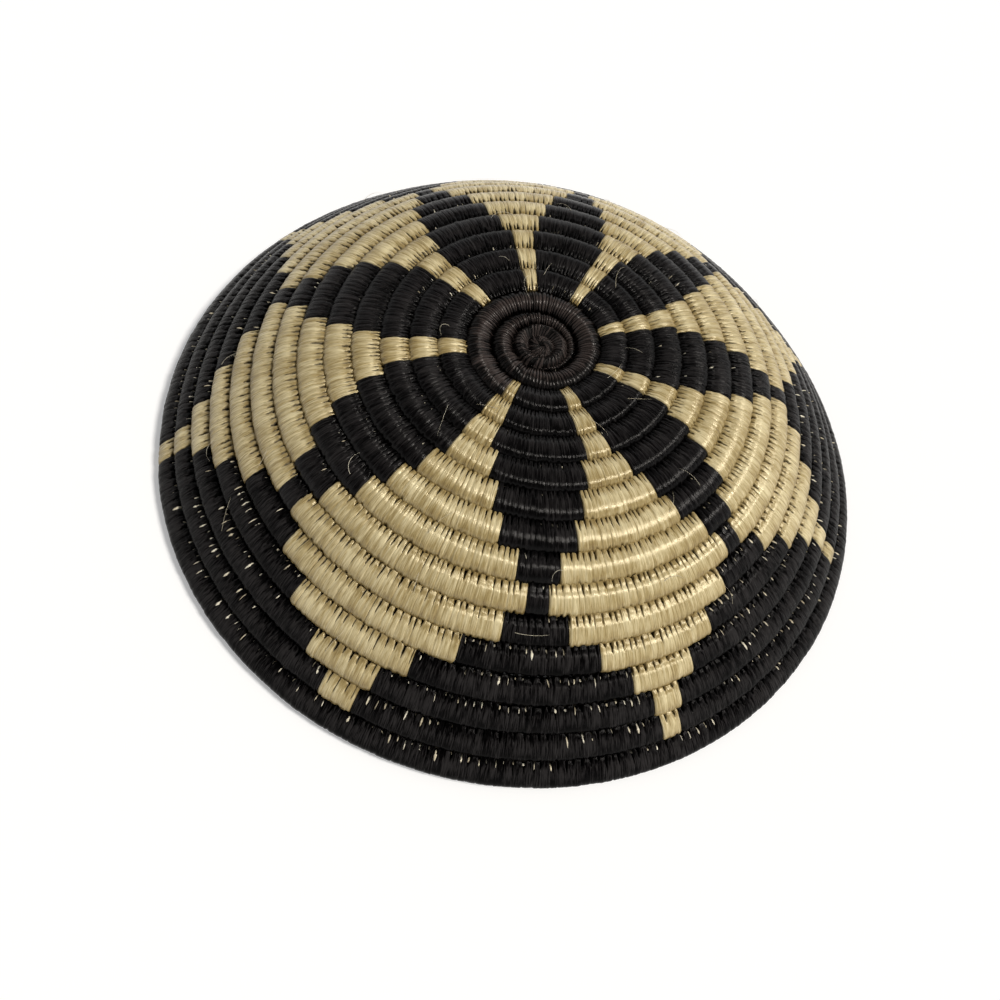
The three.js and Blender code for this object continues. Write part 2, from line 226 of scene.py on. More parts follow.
def levelled(u):
    """How far out, in rows, the groove that starts at u lies."""
    last = COIL_TURNS - np.mod(COIL_TURNS - u, 1)
    edge = last + width_share(last)
    near = smooth(1 + (u - edge) / LEVEL_TURNS)
    return np.maximum(u, 0) + near * (RIM_TURN - edge)


def inner_turn(u):
    """How far out the row's hub side lies. The first row starts at the knot."""
    return np.maximum(levelled(u), BUTTON_RADIUS / PITCH)


def outer_turn(u):
    """How far out the row's rim side lies. The last row ends at the rim."""
    return np.where(u > COIL_TURNS - 1 - 1e-7, RIM_TURN, levelled(u + 1))


next_waists = WAISTS[1:] + [WAISTS[0] + 360]
kite_middles = [(waist + after) / 2 for waist, after in zip(WAISTS, next_waists)]
kite_halves = [(after - waist) / 2 for waist, after in zip(WAISTS, next_waists)]
SEAM = math.radians(kite_middles[0])


def angle_at(u):
    return SEAM + np.mod(u, 1) * TAU


# The coil's length from its start.
grid_u = np.linspace(0, COIL_TURNS, LENGTH_POINTS)
grid_radius = wall((inner_turn(grid_u) + outer_turn(grid_u)) / 2)[0]
grid_length = running_sum(halfway(grid_radius) * np.diff(grid_u) * TAU)


def length_at(u):
    return np.interp(u, grid_u, grid_length)


def u_at(length):
    return np.interp(length, grid_length, grid_u)


def radius_at(length):
    return np.interp(length, grid_length, grid_radius)


# The stitches: each spans from one edge to the next. The draws below stay in this order.
rng = np.random.default_rng(STITCH_SEED)
stitch_edges = [0.0]
while stitch_edges[-1] < grid_length[-1] + PAST_END:
    usual = WIDTH_AT_AXIS + WIDTH_PER_MM * radius_at(stitch_edges[-1])
    stitch_edges.append(stitch_edges[-1] + usual * rng.uniform(*WIDTH_SPREAD))
stitch_edges = np.array(stitch_edges)
stitch_count = len(stitch_edges)


def draw_between(limits):
    return rng.uniform(*limits, stitch_count)


is_open = rng.random(stitch_count) < OPEN_SHARE
gap_depth = draw_between(GAP_DEPTH)
gap_reach = np.where(is_open, draw_between(OPEN_REACH), draw_between(SLIT_REACH))
gap_width = np.where(is_open, draw_between(OPEN_WIDTH), draw_between(SLIT_WIDTH))
gap_width *= (GAP_AT_AXIS + GAP_PER_MM * radius_at(stitch_edges)) / GAP_UNIT
line_depth = LINE_DEPTH_LEAST + LINE_DEPTH_MORE * rng.random(stitch_count) ** 3
tip_reach = draw_between(TIP_REACH)
hole_depth = draw_between(HOLE_DEPTH)
hole_reach = draw_between(HOLE_REACH)
hole_width = draw_between(HOLE_WIDTH)
stitch_rise = rng.normal(0, RISE, stitch_count)
stitch_tilt = rng.normal(0, TILT, stitch_count)
stitch_tone = rng.normal(0, 1, stitch_count)
stitch_lean = rng.normal(0, 1, stitch_count)


def stitch_at(length):
    """Number of the stitch, place in it from 0 to 1, and its width."""
    i = np.clip(np.searchsorted(stitch_edges, length, side="right") - 1, 0, stitch_count - 2)
    width = stitch_edges[i + 1] - stitch_edges[i]
    return i, (length - stitch_edges[i]) / width, width


def wavy(length, period, seed):
    """A smooth random wave along the coil, about -1 to 1."""
    draw = np.random.default_rng(seed)
    knots = draw.normal(0, 0.6, int(grid_length[-1] / period) + 4)
    return np.interp(length / period, np.arange(len(knots)), knots)


section = np.concatenate([
    np.linspace(0, math.pi, OUTSIDE_STEPS, endpoint=False),
    np.linspace(math.pi, TAU, INSIDE_STEPS, endpoint=False),
])
outside = (section <= math.pi)[None, :]
# How far over the row each point of the section lies: 0 at the hub side, 1 at the rim side.
over = (np.where(section <= math.pi, section, TAU - section) / math.pi)[None, :]


def looseness(u):
    """How loosely the basket is sewn, from 1 up: more on its left, its back and its right."""
    angle = angle_at(u)
    left_and_back = np.clip(-0.9 * np.sin(angle) - 0.6 * np.cos(angle), 0, 1)
    right = np.clip(np.sin(angle) - 0.3, 0, 1)
    return 1 + LOOSE_LEFT * left_and_back + LOOSE_RIGHT * right


def gap_cuts(u, nearest, from_edge):
    """The gaps between stitches: where they are cut, where painted shade darkens them, and how deep they are.
    """
    reach = gap_reach[nearest][:, None] * np.where(outside, 1, INSIDE_REACH)
    leaf = np.where(is_open[nearest][:, None], 1, smooth(over / SLIT_CLOSED))
    loose = looseness(u)
    wide = (loose * gap_width[nearest])[:, None] * leaf * np.clip(1 - over / reach, 0, 1) ** GAP_POINT
    cut = smooth((wide - from_edge) / CUT_EDGE + 0.5) * (over < reach)
    shade = smooth((wide - from_edge) / SHADE_EDGE + SHADE_MORE) * (over < reach)
    return cut, shade, cut * (gap_depth[nearest] / loose)[:, None] * smooth(over / CUT_START)


def hole_cuts(u):
    """The holes that the next turn's stitches make in this one: where they are, and how deep."""
    i, place, width = stitch_at(length_at(np.minimum(u + 1, COIL_TURNS)))
    has_next = (u + 1 < COIL_TURNS).astype(float)
    from_hole = np.abs(place - 0.5) * width
    hole = np.clip(1 - (1 - over) / hole_reach[i][:, None], 0, 1) ** 0.5
    hole = hole * (has_next * smooth(HOLE_EDGE - HOLE_EDGE * from_hole / hole_width[i]))[:, None]
    return hole, hole * hole_depth[i][:, None] * smooth((1 - over) / CUT_START)


def crossing_wave(length, periods, seeds):
    """A wave along the coil that changes to another on the way over the row."""
    first, second = [wavy(length, period, seed)[:, None] for period, seed in zip(periods, seeds)]
    return first * (1 - over) + second * over


def strand_relief(length, i, place, coarse):
    """How far the surface lies below the row's round, from the strands' backs, fibres and tilts."""
    fibre = FIBRE_HEIGHTS[0] * crossing_wave(length, periods=(0.34, 0.37), seeds=(11, 12))
    fibre = fibre + FIBRE_HEIGHTS[1] * crossing_wave(length, periods=(0.62, 0.58), seeds=(13, 14))
    back = BACK_ROUND * coarse - BACK_LESS + HUB_SIDE_BACK * smooth((0.5 - over) / 0.35) * outside
    rib = back * (2 * place - 1)[:, None] ** 2 + coarse * fibre - coarse * stitch_rise[i][:, None]
    slow = SLOW_WAVE * (wavy(length, period=5, seed=15)[:, None] * np.sin(TAU * over))
    rib = rib - coarse * stitch_tilt[i][:, None] * np.sin(TAU * over) * outside - slow
    return rib * smooth(over / RELIEF_START) * smooth((1 - over) / RELIEF_START)


def add_tips(across, above, i, relief, half_width, half_height, share):
    """The tips of the stitches leave the round of the row and lie over the groove to the row before."""
    along_tip = np.clip((TIP_FROM - over) / (TIP_FROM - TIP_TO), 0, 1)
    start_across = -abs(math.cos(TIP_FROM * math.pi)) ** EXPONENT * half_width
    start_above = abs(math.sin(TIP_FROM * math.pi)) ** EXPONENT * half_height
    tip_across = start_across - (half_width + tip_reach[i][:, None] + start_across) * along_tip
    tip_above = start_above - (start_above - TIP_HEIGHT * half_height) * along_tip**1.5 - 0.5 * relief
    return across + (tip_across - across) * share, above + (tip_above - above) * share


def coil_surface(u, ends):
    """The coil's surface at the stations u: its points, the painted shade of gaps, holes and lines, lengths
    and stitches.
    """
    length = length_at(u)
    i, place, width = stitch_at(length)
    nearest = i + (place > 0.5)
    from_edge = (np.minimum(place, 1 - place) * width)[:, None]

    # How far the surface is sunk by gaps, holes, lines between stitches, and the run's rounded ends.
    gap, gap_shade, gap_dip = gap_cuts(u, nearest, from_edge)
    hole, hole_dip = hole_cuts(u)
    coarse = np.interp(u, COARSE_TURNS, COARSENESS)[:, None]
    line = smooth(1 - from_edge / LINE_WIDTH)
    painted_line_shade = line * (coarse - 1) / (COARSENESS[0] - 1)
    line = line * np.maximum(line_depth[nearest][:, None], HUB_LINE_DEPTH * (coarse - 1))
    dip = np.maximum(np.maximum(gap_dip, hole_dip), line) + strand_relief(length, i, place, coarse)
    from_end = np.minimum(length - ends[0], ends[1] - length)
    dip = dip + END_DROP * smooth(1 - from_end / END_ROUND)[:, None] ** 2

    # The row's round form.
    near, far = inner_turn(u), outer_turn(u)
    share = np.minimum(far - near, 1)
    middle = (near + far) / 2 + MIDDLE_WAVE * wavy(length, period=23, seed=5)
    half_width = share / 2 * PITCH * (1 + WIDTH_WAVE * wavy(length, period=17, seed=6))
    half_width = (half_width + OVERLAP)[:, None]
    edge = EDGE_THICKNESS / 2
    half_height = edge + (THICKNESS / 2 - edge) * share
    half_height = (half_height * (1 + HEIGHT_WAVE * wavy(length, period=29, seed=7)))[:, None]
    exponent = np.interp(u, HUB_ENDS, [HUB_EXPONENT, EXPONENT])[:, None]
    across = -np.sign(np.cos(section)) * np.abs(np.cos(section)) ** exponent * half_width
    above = np.sign(np.sin(section)) * np.abs(np.sin(section)) ** exponent * half_height
    inwards = np.clip(1 - dip / np.hypot(across, above), *INWARDS)

    tips = smooth((TIP_FROM - over) / TIP_BLEND) * outside * (1 - gap) * smooth(over / TIP_FADE)
    tips = tips * (share * smooth((u - TIP_TURNS[0]) / (TIP_TURNS[1] - TIP_TURNS[0])))[:, None]
    relief = dip - gap_dip
    across, above = add_tips(across * inwards, above * inwards, i, relief, half_width, half_height, tips)
    lean = LEAN_WAVE * wavy(length, period=9, seed=8) + LEAN_SPREAD * stitch_lean[i]
    lean = lean[:, None] * (0.5 - over) * outside
    angle = angle_at(u)[:, None] + lean / np.maximum(wall(middle)[0], LEAN_RADIUS)[:, None]
    points = wall_point(middle[:, None] + across / PITCH, above, angle)
    points[..., 2] = np.maximum(points[..., 2], 0)
    # Painted shade: how much the colour is darkened in gaps, holes and the lines between the hub's strands.
    painted_shade_mask = np.clip(np.maximum(np.maximum(gap_shade, HOLE_PAINTED_SHADE * hole), LINE_PAINTED_SHADE * painted_line_shade), 0, 1)
    return points, painted_shade_mask, length, i


def tube_faces(rings, sides, start):
    ring = np.arange(rings - 1)[:, None] * sides + start
    k = np.arange(sides)[None, :]
    n = (k + 1) % sides
    return np.stack([ring + k, ring + n, ring + sides + n, ring + sides + k], -1).reshape(-1, 4)


class Piece:
    """Gathers closed tubes into one mesh, with a tone, painted shade for the gaps and fibre coordinates for
    each point.
    """

    def __init__(self):
        self.points, self.quads, self.caps, self.tone, self.gap, self.uv = [], [], [], [], [], []
        self.count = 0

    def add_tube(self, points, tone, gap, uv):
        rings, sides = points.shape[:2]
        self.points.append(points.reshape(-1, 3))
        self.quads.append(tube_faces(rings, sides, self.count))
        self.caps.append((self.count + np.arange(sides))[::-1])
        self.caps.append(self.count + (rings - 1) * sides + np.arange(sides))
        self.tone.append(tone.reshape(-1))
        self.gap.append(gap.reshape(-1))
        self.uv.append(uv.reshape(-1, 2))
        self.count += rings * sides

    def build(self, name, material, replaces=None):
        points = np.concatenate(self.points) * MM
        quads = np.concatenate(self.quads)
        corners = np.concatenate([quads.reshape(-1)] + list(self.caps)).astype(np.int32)
        sizes = np.concatenate([np.full(len(quads), 4), [len(c) for c in self.caps]]).astype(np.int32)
        mesh = bpy.data.meshes.new(name)
        mesh.vertices.add(len(points))
        mesh.vertices.foreach_set("co", points.astype(np.float32).reshape(-1))
        mesh.loops.add(len(corners))
        mesh.loops.foreach_set("vertex_index", corners)
        mesh.polygons.add(len(sizes))
        mesh.polygons.foreach_set("loop_start", running_sum(sizes)[:-1].astype(np.int32))
        mesh.update(calc_edges=True)
        mesh.polygons.foreach_set("use_smooth", np.ones(len(sizes), bool))
        # The gap attribute holds the painted shade of gaps, holes and lines.
        for label, values in (("tone", self.tone), ("gap", self.gap)):
            layer = mesh.attributes.new(label, "FLOAT", "POINT")
            layer.data.foreach_set("value", np.concatenate(values).astype(np.float32))
        uv = mesh.uv_layers.new(name="fibre")
        uv.data.foreach_set("uv", np.concatenate(self.uv)[corners].astype(np.float32).reshape(-1))
        mesh.validate()
        mesh.materials.append(material)
        piece = bpy.data.objects.new(name, mesh)
        bpy.context.scene.collection.objects.link(piece)
        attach(piece, "root")
        if replaces:
            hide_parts(replaces)


# The runs of colour along the coil: for each area, where its runs start and end.
def share_of(kite, round_number):
    if round_number == 0:
        return CREAM_START_SHARE
    reach = KITE_REACH[kite] if round_number > PETAL_ROUNDS else 0
    return float(np.interp(round_number - reach, np.arange(1, len(CREAM_SHARE) + 1), CREAM_SHARE))


def cream_run(kite, round_number):
    drift = TIP_DRIFT[kite] * min(max(round_number - DRIFT_FROM, 0) / DRIFT_ROUNDS, 1)
    turn = HUB_TURNS + round_number - 1 + (kite_middles[kite] + drift - kite_middles[0]) / 360
    half = kite_halves[kite] / 360
    before = share_of(kite, round_number - 1 if kite == 0 else round_number)
    return turn - before * half, turn + share_of(kite, round_number) * half


def colour_runs():
    rounds, kites = len(CREAM_SHARE), len(WAISTS)
    runs = {"hub": [(0, cream_run(0, 1)[0])]}
    for round_number in range(1, rounds + 1):
        area = "petal" if round_number <= PETAL_ROUNDS else "border"
        for kite in range(kites):
            start, end = cream_run(kite, round_number)
            if kite + 1 < kites:
                until = cream_run(kite + 1, round_number)[0]
            elif round_number < rounds:
                until = cream_run(0, round_number + 1)[0]
            else:
                until = HUB_TURNS + rounds
            runs.setdefault(f"kite_{kite + 1}", []).append((start, end))
            runs.setdefault(f"{area}_{kite + 1}", []).append((end, until))
    runs["rim"] = [(HUB_TURNS + rounds, COIL_TURNS - END_SHARE * TAPER_TURNS)]
    return runs


class Nodes:
    """Builds the nodes of a material or of the world."""

    def __init__(self, owner):
        owner.use_nodes = True
        self.tree = owner.node_tree
        self.tree.nodes.clear()

    def add(self, kind, inputs=None, **settings):
        node = self.tree.nodes.new(kind)
        for key, value in settings.items():
            setattr(node, key, value)
        for key, value in (inputs or {}).items():
            if isinstance(value, bpy.types.NodeSocket):
                self.tree.links.new(value, node.inputs[key])
            else:
                node.inputs[key].default_value = value
        return node

    def math(self, operation, a, b=0.0, clamp=False):
        return self.add("ShaderNodeMath", {0: a, 1: b}, operation=operation, use_clamp=clamp).outputs[0]

    def ramp(self, value, stops):
        node = self.add("ShaderNodeValToRGB", {"Fac": value})
        ramp = node.color_ramp
        while len(ramp.elements) < len(stops):
            ramp.elements.new(0.5)
        for element, (place, colour) in zip(ramp.elements, stops):
            element.position = place
            element.color = (*colour, 1)
        return node.outputs["Color"]

    def seen(self, path):
        """1 where a light path comes straight from the camera, or from gloss or glass."""
        either = self.math("MAXIMUM", path.outputs["Is Camera Ray"], path.outputs["Is Glossy Ray"])
        return self.math("MAXIMUM", either, path.outputs["Is Transmission Ray"])


# What the materials of all the strands have in common.
BROAD_WEIGHT, MOTTLE_WEIGHT, NOISE_ROUGHNESS = 0.6, 0.4, 0.6
GAP_SHADE_COLOUR, GAP_SHADE_MIX, GAP_ROUGHNESS = 0.12, 1.25, 0.5  # painted shade in the gaps: its colour is a share of the shadow's
ROUGHNESS_SPREAD = 0.3
BUMP_METRES = 0.00014
ANISOTROPY = 0.92


def strands_material(name, shadow, body, light, streak, roughness, tone_weight, specular, tint):
    """Parallel plant fibres: streaks along the wrap, a tone for each stitch, and painted shade in the gaps.
    """
    material = bpy.data.materials.new(name)
    n = Nodes(material)
    uv = n.add("ShaderNodeUVMap", uv_map="fibre").outputs["UV"]
    tone = n.add("ShaderNodeAttribute", attribute_name="tone").outputs["Fac"]
    gap = n.add("ShaderNodeAttribute", attribute_name="gap").outputs["Fac"]

    def streaks(per_mm, along, detail, shift):
        scale, location = (per_mm, along, 1), (shift, shift, 0)
        place = n.add("ShaderNodeMapping", {"Vector": uv, "Scale": scale, "Location": location}).outputs[0]
        noise = {"Vector": place, "Scale": 1.0, "Detail": detail, "Roughness": NOISE_ROUGHNESS}
        return n.add("ShaderNodeTexNoise", noise, noise_dimensions="2D").outputs["Fac"]

    fine = streaks(per_mm=2.6, along=1.2, detail=3.0, shift=3.1)
    broad = streaks(per_mm=0.9, along=0.9, detail=2.0, shift=7.7)
    mottle = streaks(per_mm=0.05, along=0.4, detail=2.0, shift=1.3)
    value = n.math("ADD", n.math("MULTIPLY", fine, streak), n.math("MULTIPLY", broad, BROAD_WEIGHT))
    value = n.math("ADD", value, n.math("MULTIPLY", mottle, MOTTLE_WEIGHT))
    # On the rows the tone also carries a painted crown highlight and painted groove shade.
    value = n.math("ADD", value, n.math("MULTIPLY", tone, tone_weight))
    value = n.math("SUBTRACT", value, (streak + BROAD_WEIGHT + MOTTLE_WEIGHT) / 2 - 0.5, clamp=True)
    colour = n.ramp(value, [(0.0, shadow), (0.5, body), (1.0, light)])
    # The colour sockets of a Mix node are its inputs 6 and 7 and its output 2.
    # Painted shade: the gaps are mixed towards a darker share of the shadow colour.
    painted_gap_shade = (*[c * GAP_SHADE_COLOUR for c in shadow], 1)
    painted_shade_share = n.math("MULTIPLY", gap, GAP_SHADE_MIX, clamp=True)
    colour_with_painted_shade = n.add("ShaderNodeMix", {0: painted_shade_share, 6: colour, 7: painted_gap_shade}, data_type="RGBA").outputs[2]
    tangent = n.add("ShaderNodeTangent", direction_type="UV_MAP", uv_map="fibre").outputs[0]
    bump = n.add("ShaderNodeBump", {"Strength": 1.0, "Distance": BUMP_METRES, "Height": fine})
    rough = n.math("ADD", n.math("MULTIPLY", fine, ROUGHNESS_SPREAD), roughness - ROUGHNESS_SPREAD / 2)
    rough = n.math("ADD", rough, n.math("MULTIPLY", gap, GAP_ROUGHNESS))
    shader = n.add("ShaderNodeBsdfPrincipled", {
        "Base Color": colour_with_painted_shade, "Roughness": rough, "Normal": bump.outputs[0], "Tangent": tangent,
        "Specular IOR Level": specular, "Specular Tint": (*tint, 1), "Anisotropic": ANISOTROPY,
    })
    n.add("ShaderNodeOutputMaterial", {"Surface": shader.outputs[0]})
    return material


cream = strands_material(
    "cream_strands",
    shadow=(0.145, 0.09, 0.024), body=(0.375, 0.28, 0.118), light=(0.76, 0.65, 0.39),
    streak=0.85, roughness=0.31, tone_weight=0.06, specular=0.95, tint=(1.0, 0.9, 0.66))
black = strands_material(
    "black_strands",
    shadow=(0.0006, 0.0005, 0.0005), body=(0.0016, 0.0013, 0.0014), light=(0.020, 0.018, 0.018),
    streak=1.4, roughness=0.25, tone_weight=0.06, specular=0.10, tint=(1, 0.97, 0.95))
border_black = strands_material(
    "border_strands",
    shadow=(0.0004, 0.0003, 0.0003), body=(0.0009, 0.0007, 0.0008), light=(0.024, 0.022, 0.022),
    streak=1.7, roughness=0.23, tone_weight=0.07, specular=0.04, tint=(1, 0.97, 0.95))
hub_black = strands_material(
    "hub_strands",
    shadow=(0.0006, 0.0004, 0.0003), body=(0.0028, 0.0020, 0.0018), light=(0.050, 0.038, 0.034),
    streak=1.5, roughness=0.27, tone_weight=0.14, specular=0.22, tint=(1, 0.94, 0.9))
bundle_fibre = strands_material(
    "bundle_fibre",
    shadow=(0.30, 0.24, 0.15), body=(0.62, 0.54, 0.38), light=(0.86, 0.80, 0.64),
    streak=1.1, roughness=0.45, tone_weight=0.1, specular=0.5, tint=(1, 0.95, 0.85))

LOOKS = {
    "kite": (cream, "cream_strands"),
    "petal": (black, "black_strands"),
    "border": (border_black, "black_strands"),
    "rim": (border_black, "black_strands"),
    "hub": (hub_black, "black_strands"),
}


def add_run(piece, start, end):
    """One run of stitches along the coil, closed at both ends."""
    low, high = length_at(start) + END_SLACK, length_at(end) - END_SLACK
    places = stitch_edges[:-1, None] + np.diff(stitch_edges)[:, None] * STATIONS
    places = places[(places > low + STATION_SLACK) & (places < high - STATION_SLACK)]
    u = u_at(np.concatenate([[low], places, [high]]))
    points, painted_shade_mask, length, i = coil_surface(u, (low, high))
    grain = wavy(length, period=0.3, seed=21) + wavy(length, period=0.7, seed=22)
    # Painted highlight along each row's crown and painted shade towards its grooves, added to the tone.
    painted_highlight_and_shade = PAINTED_CROWN_HIGHLIGHT * np.exp(-((over - CROWN_AT) / CROWN_WIDTH) ** 2) - PAINTED_GROOVE_SHADE
    tone = (stitch_tone[i] + grain)[:, None] + painted_highlight_and_shade
    uv = np.stack([np.repeat(length[:, None], points.shape[1], 1),
                   np.repeat((section / math.pi * UV_OVER)[None, :], len(u), 0)], -1)
    piece.add_tube(points, tone, painted_shade_mask, uv)


def button_strands(angle, twist, count, seed):
    """The relief of strands that run from the middle outwards, and turn on their way."""
    knots = np.random.default_rng(seed).normal(0, 0.5, (2, count))
    place = (angle[None, :] + twist[:, None]) / TAU * count
    i = np.floor(place).astype(int) % count
    back = 1 - (2 * (place - np.floor(place)) - 1) ** 2
    return np.sqrt(back) * (0.75 + 0.35 * knots[0][i]) + 0.3 * knots[1][i]


def add_button(piece):
    """The knot in the middle of the hub: strands that radiate from its middle over a tight first turn."""
    angle = np.arange(BUTTON_SIDES) / BUTTON_SIDES * TAU
    radius = np.linspace(BUTTON_FROM, BUTTON_RADIUS + BUTTON_PAST, BUTTON_RINGS)
    draw = np.random.default_rng(BUTTON_SEED)
    top = np.interp(radius, BUTTON_RADII, BUTTON_HEIGHTS)
    knot = smooth(KNOT_RADIUS - radius)[:, None]
    inner = button_strands(angle, KNOT_TWIST * radius, KNOT_STRANDS, KNOT_SEED)
    outer = button_strands(angle, RING_TWIST * radius, RING_STRANDS, RING_SEED)
    relief = inner * knot * KNOT_RELIEF + outer * (1 - knot) * RING_RELIEF
    relief = relief * np.clip(radius / 1.2, 0.2, 1)[:, None]  # less near the middle
    height = top[:, None] + relief - BUTTON_SUNK
    turn = radius[:, None] / PITCH * np.ones((1, BUTTON_SIDES))
    around = angle[None, :] * np.ones((BUTTON_RINGS, 1))
    upper, lower = wall_point(turn, height, around), wall_point(turn, -height, around)
    points = np.concatenate([upper, lower[::-1]])[:, ::-1]
    relief = np.concatenate([relief, relief[::-1]])[:, ::-1]
    # Painted highlight on the strands' ridges and painted shade between them, with a random tone around the
    # knot; the gaps between strands get painted shade.
    tone = relief * 8 - 3.5 + draw.normal(0, 0.5, (1, BUTTON_SIDES))
    painted_gap_shade = smooth(1.3 - relief / 0.5)
    reach = np.concatenate([radius, radius[::-1]])[:, None]
    uv = np.stack([np.repeat(angle[None, ::-1] * 8.0, len(reach), 0),
                   np.repeat(reach / 3, BUTTON_SIDES, 1)], -1)
    piece.add_tube(points, tone, painted_gap_shade, uv)


def row_point(u, t, lift):
    """A point above the smooth outside of a row, t from 0 at the hub side to 1 at the rim side."""
    near, far = inner_turn(u), outer_turn(u)
    share = np.minimum(far - near, 1)
    across = -np.sign(np.cos(t * math.pi)) * np.abs(np.cos(t * math.pi)) ** EXPONENT
    above = np.abs(np.sin(t * math.pi)) ** EXPONENT
    edge = EDGE_THICKNESS / 2
    half_width = share / 2 * PITCH + 0.12 + lift
    half_height = edge + (THICKNESS / 2 - edge) * share + lift
    return wall_point((near + far) / 2 + across * half_width / PITCH, above * half_height, angle_at(u))


def add_fleck(piece, u, t0, t1, width, lift, lean, tone):
    """A short flat strand of the bundle that shows across a row, pointed at both ends."""
    steps, sides = FLECK_STEPS, FLECK_SIDES
    along = np.linspace(0, 1, steps)
    around = np.arange(sides) / sides * TAU
    t = t0 + (t1 - t0) * along
    shape = np.sqrt(np.clip(1 - (2 * along - 1) ** 2, 0.02, 1)) * (1.15 - 0.5 * along)
    length = length_at(u) + lean * (along - 0.5)
    wide = width / 2 * shape[:, None] * np.cos(around)[None, :]
    high = FLECK_THICK / 2 * shape[:, None] * np.sin(around)[None, :]
    points = row_point(u_at(length[:, None] + wide), np.repeat(t[:, None], sides, 1), lift + high)
    points[..., 2] = np.maximum(points[..., 2], 0.02)
    uv = np.stack([length[:, None] + wide, np.repeat(t[:, None] * UV_OVER, sides, 1)], -1)
    piece.add_tube(points, np.full((steps, sides), tone), np.zeros((steps, sides)), uv)


def add_flecks(piece, runs):
    """The pale strands that show between black stitches, in loose clusters."""
    black_runs = []
    for area, area_runs in runs.items():
        if not area.startswith(("hub", "kite")):
            black_runs += area_runs
    draw = np.random.default_rng(FLECK_SEED)
    cluster = 0.5 + 0.6 * wavy(stitch_edges, CLUSTER_PERIOD, CLUSTER_SEED)
    for k in range(1, stitch_count - 1):
        u = float(u_at(stitch_edges[k]))
        in_black = any(start + FLECK_MARGIN < u < end - FLECK_MARGIN for start, end in black_runs)
        if u > COIL_TURNS - FLECKS_END or u < HUB_TURNS or not in_black:
            continue
        often = np.interp(u, FLECK_TURNS, FLECK_OFTEN)
        if draw.random() > often * np.clip(2 * cluster[k], 0.1, 1.6):
            continue
        size = np.interp(u, *FLECK_SIZE)
        start = draw.uniform(*FLECK_START) * size
        long = (FLECK_LONG + FLECK_LONGER * draw.random() ** 1.6) * size
        wide = (FLECK_WIDE + FLECK_WIDER * draw.random() ** 1.7) * (0.4 + 0.6 * size)
        add_fleck(piece, u, start, start + long, wide, lift=draw.uniform(*FLECK_LIFT),
                  lean=draw.normal(0, FLECK_LEAN), tone=draw.uniform(*FLECK_TONE))


def add_bundle(piece):
    """The bundle inside the coil, as one unbroken tube."""
    u = np.linspace(BUNDLE_END, COIL_TURNS - BUNDLE_END, BUNDLE_STEPS)
    near, far = inner_turn(u), outer_turn(u)
    around = np.arange(BUNDLE_SIDES) / BUNDLE_SIDES * TAU
    radius = (BUNDLE_RADIUS * np.minimum(far - near, 1))[:, None]
    turn = (near + far)[:, None] / 2 - radius * np.cos(around) / PITCH
    points = wall_point(turn, radius * np.sin(around), angle_at(u)[:, None] * np.ones(BUNDLE_SIDES))
    plain = np.zeros(points.shape[:2])
    uv = np.stack([np.repeat(length_at(u)[:, None], BUNDLE_SIDES, 1),
                   np.repeat(around[None, :], len(u), 0)], -1)
    piece.add_tube(points, plain, plain, uv)


def add_hair(piece, draw):
    """A loose fibre that comes out of a row's crown, curls over the rows and ends in a thin point."""
    steps, sides = HAIR_STEPS, HAIR_SIDES
    along = np.linspace(0, 1, steps)
    u = draw.uniform(*HAIR_TURNS)
    turn = float(inner_turn(u) + outer_turn(u)) / 2
    long = draw.uniform(*HAIR_LONG)
    heading = draw.uniform(0, TAU) + draw.normal(0, HAIR_CURL) * along
    ahead = np.cumsum(np.stack([np.cos(heading), np.sin(heading)]) * long / steps, 1)
    lift = THICKNESS / 2 - HAIR_SUNK + draw.uniform(*HAIR_LIFT) * np.sin(0.9 * math.pi * along)
    path = wall_point(turn + ahead[1] / PITCH, lift, angle_at(u) + ahead[0] / (turn * PITCH))
    tangent = np.gradient(path, axis=0)
    side = np.cross(tangent, (0, 0, 1))
    side /= np.linalg.norm(side, axis=1, keepdims=True)
    above = np.cross(side, tangent / np.linalg.norm(tangent, axis=1, keepdims=True))
    around = np.arange(sides) / sides * TAU
    radius = (draw.uniform(*HAIR_RADIUS) * np.sqrt(1.02 - along))[:, None, None]
    ring = np.cos(around)[None, :, None] * side[:, None] + np.sin(around)[None, :, None] * above[:, None]
    uv = np.stack([np.repeat(around[None, :], steps, 0), np.repeat(long * along[:, None], sides, 1)], -1)
    piece.add_tube(path[:, None] + radius * ring, np.full((steps, sides), draw.uniform(*HAIR_TONE)),
                   np.zeros((steps, sides)), uv)


def add_basket():
    runs = colour_runs()
    for area, area_runs in runs.items():
        piece = Piece()
        for start, end in area_runs:
            add_run(piece, start, end)
        if area == "hub":
            add_button(piece)
        material, slot = LOOKS[area.split("_")[0]]
        node = area.replace("_", "_wrap_") if "_" in area else f"{area}_wrap"
        piece.build(area + "_stitches", material, node)
    bundle = Piece()
    add_flecks(bundle, runs)
    add_bundle(bundle)
    bundle.build("bundle_coil", bundle_fibre, "foundation_coil")
    hairs = Piece()
    draw = np.random.default_rng(HAIR_SEED)
    for _ in range(HAIRS):
        add_hair(hairs, draw)
    hairs.build("loose_fibres", bundle_fibre, None)


